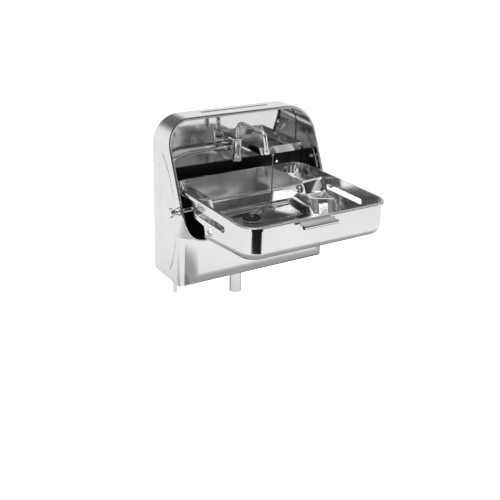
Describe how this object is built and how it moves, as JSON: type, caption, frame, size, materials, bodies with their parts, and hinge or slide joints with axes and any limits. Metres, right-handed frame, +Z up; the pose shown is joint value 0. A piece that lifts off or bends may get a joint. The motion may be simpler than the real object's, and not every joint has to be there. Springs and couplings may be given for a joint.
{
  "type": "fold-up hand wash sink",
  "caption": "Wall-hung fold-up stainless steel hand wash sink: arched housing with mirror panel, swivel tap and soap tray, and a rectangular bowl that tips up on side pivots.",
  "frame": {"origin": "middle of the four wall holes, on the wall plane", "axes": "+Z up, front faces -Y, +Y into the wall, +X to the right when facing the sink"},
  "size_m": [0.435, 0.4033, 0.4296],
  "materials": {
    "polished_steel": "mirror-polished stainless sheet",
    "dark_coat": "black satin coat",
    "mirror_steel": "mirror-polished stainless panel",
    "bright_chrome": "bright chrome plate",
    "dark_plastic": "moulded black plastic",
    "plug_rubber": "moulded black rubber",
    "black_rubber": "matt black rubber"
  },
  "bodies": {
    "housing": {"back_plate": "dark_coat", "chain_anchor": "bright_chrome", "chain_drop": "bright_chrome", "feed_nut": "bright_chrome", "feed_pipe": "bright_chrome", "housing_shell": "polished_steel", "mirror_panel": "mirror_steel", "panel_screw_left": "bright_chrome", "panel_screw_right": "bright_chrome", "pivot_dome_left": "bright_chrome", "pivot_dome_right": "bright_chrome", "pivot_knob_left": "bright_chrome", "pivot_knob_right": "bright_chrome", "pivot_spacer_left": "bright_chrome", "pivot_spacer_right": "bright_chrome", "soap_tray": "polished_steel", "supply_grommet": "black_rubber", "supply_tail": "bright_chrome", "tap_arm": "bright_chrome", "tap_body": "bright_chrome", "tap_flange": "bright_chrome", "tap_foot": "bright_chrome", "tray_rivets": "bright_chrome", "waste_spigot": "polished_steel"},
    "bowl": {"bowl_rim": "polished_steel", "bowl_shell": "polished_steel", "chain_lead": "bright_chrome", "pivot_bush_left": "dark_plastic", "pivot_bush_right": "dark_plastic", "pull_plate": "polished_steel", "pull_roll": "polished_steel", "slot_lip_left": "polished_steel", "slot_lip_right": "polished_steel", "stop_peg_left": "black_rubber", "stop_peg_right": "black_rubber", "stud_nut_left": "bright_chrome", "stud_nut_right": "bright_chrome", "stud_plate_left": "polished_steel", "stud_plate_right": "polished_steel", "waste_flange": "bright_chrome", "waste_grid": "bright_chrome", "waste_nut": "dark_plastic", "waste_seal": "black_rubber"},
    "plug": {"plug": "plug_rubber", "plug_eye": "bright_chrome"},
    "spout": {"spout": "bright_chrome", "tap_cap": "bright_chrome", "nozzle": "bright_chrome"}
  },
  "joints": [
    {"name": "bowl_tip", "type": "hinge", "parent": "housing", "child": "bowl", "pos_m": [0, -0.1264, 0.0454], "axis": [-1, 0, 0], "range_deg": [0, 88], "deforming": ["chain_drop"]},
    {"name": "spout_swivel", "type": "hinge", "parent": "housing", "child": "spout", "pos_m": [-0.0025, -0.046, 0.1625], "axis": [0, 0, 1], "range_deg": [-80, 35]},
    {"name": "plug_lift", "type": "slide", "parent": "bowl", "child": "plug", "axis": [0, 0, 1], "range_m": [0, 0.035], "deforming": ["chain_lead"]}
  ]
}
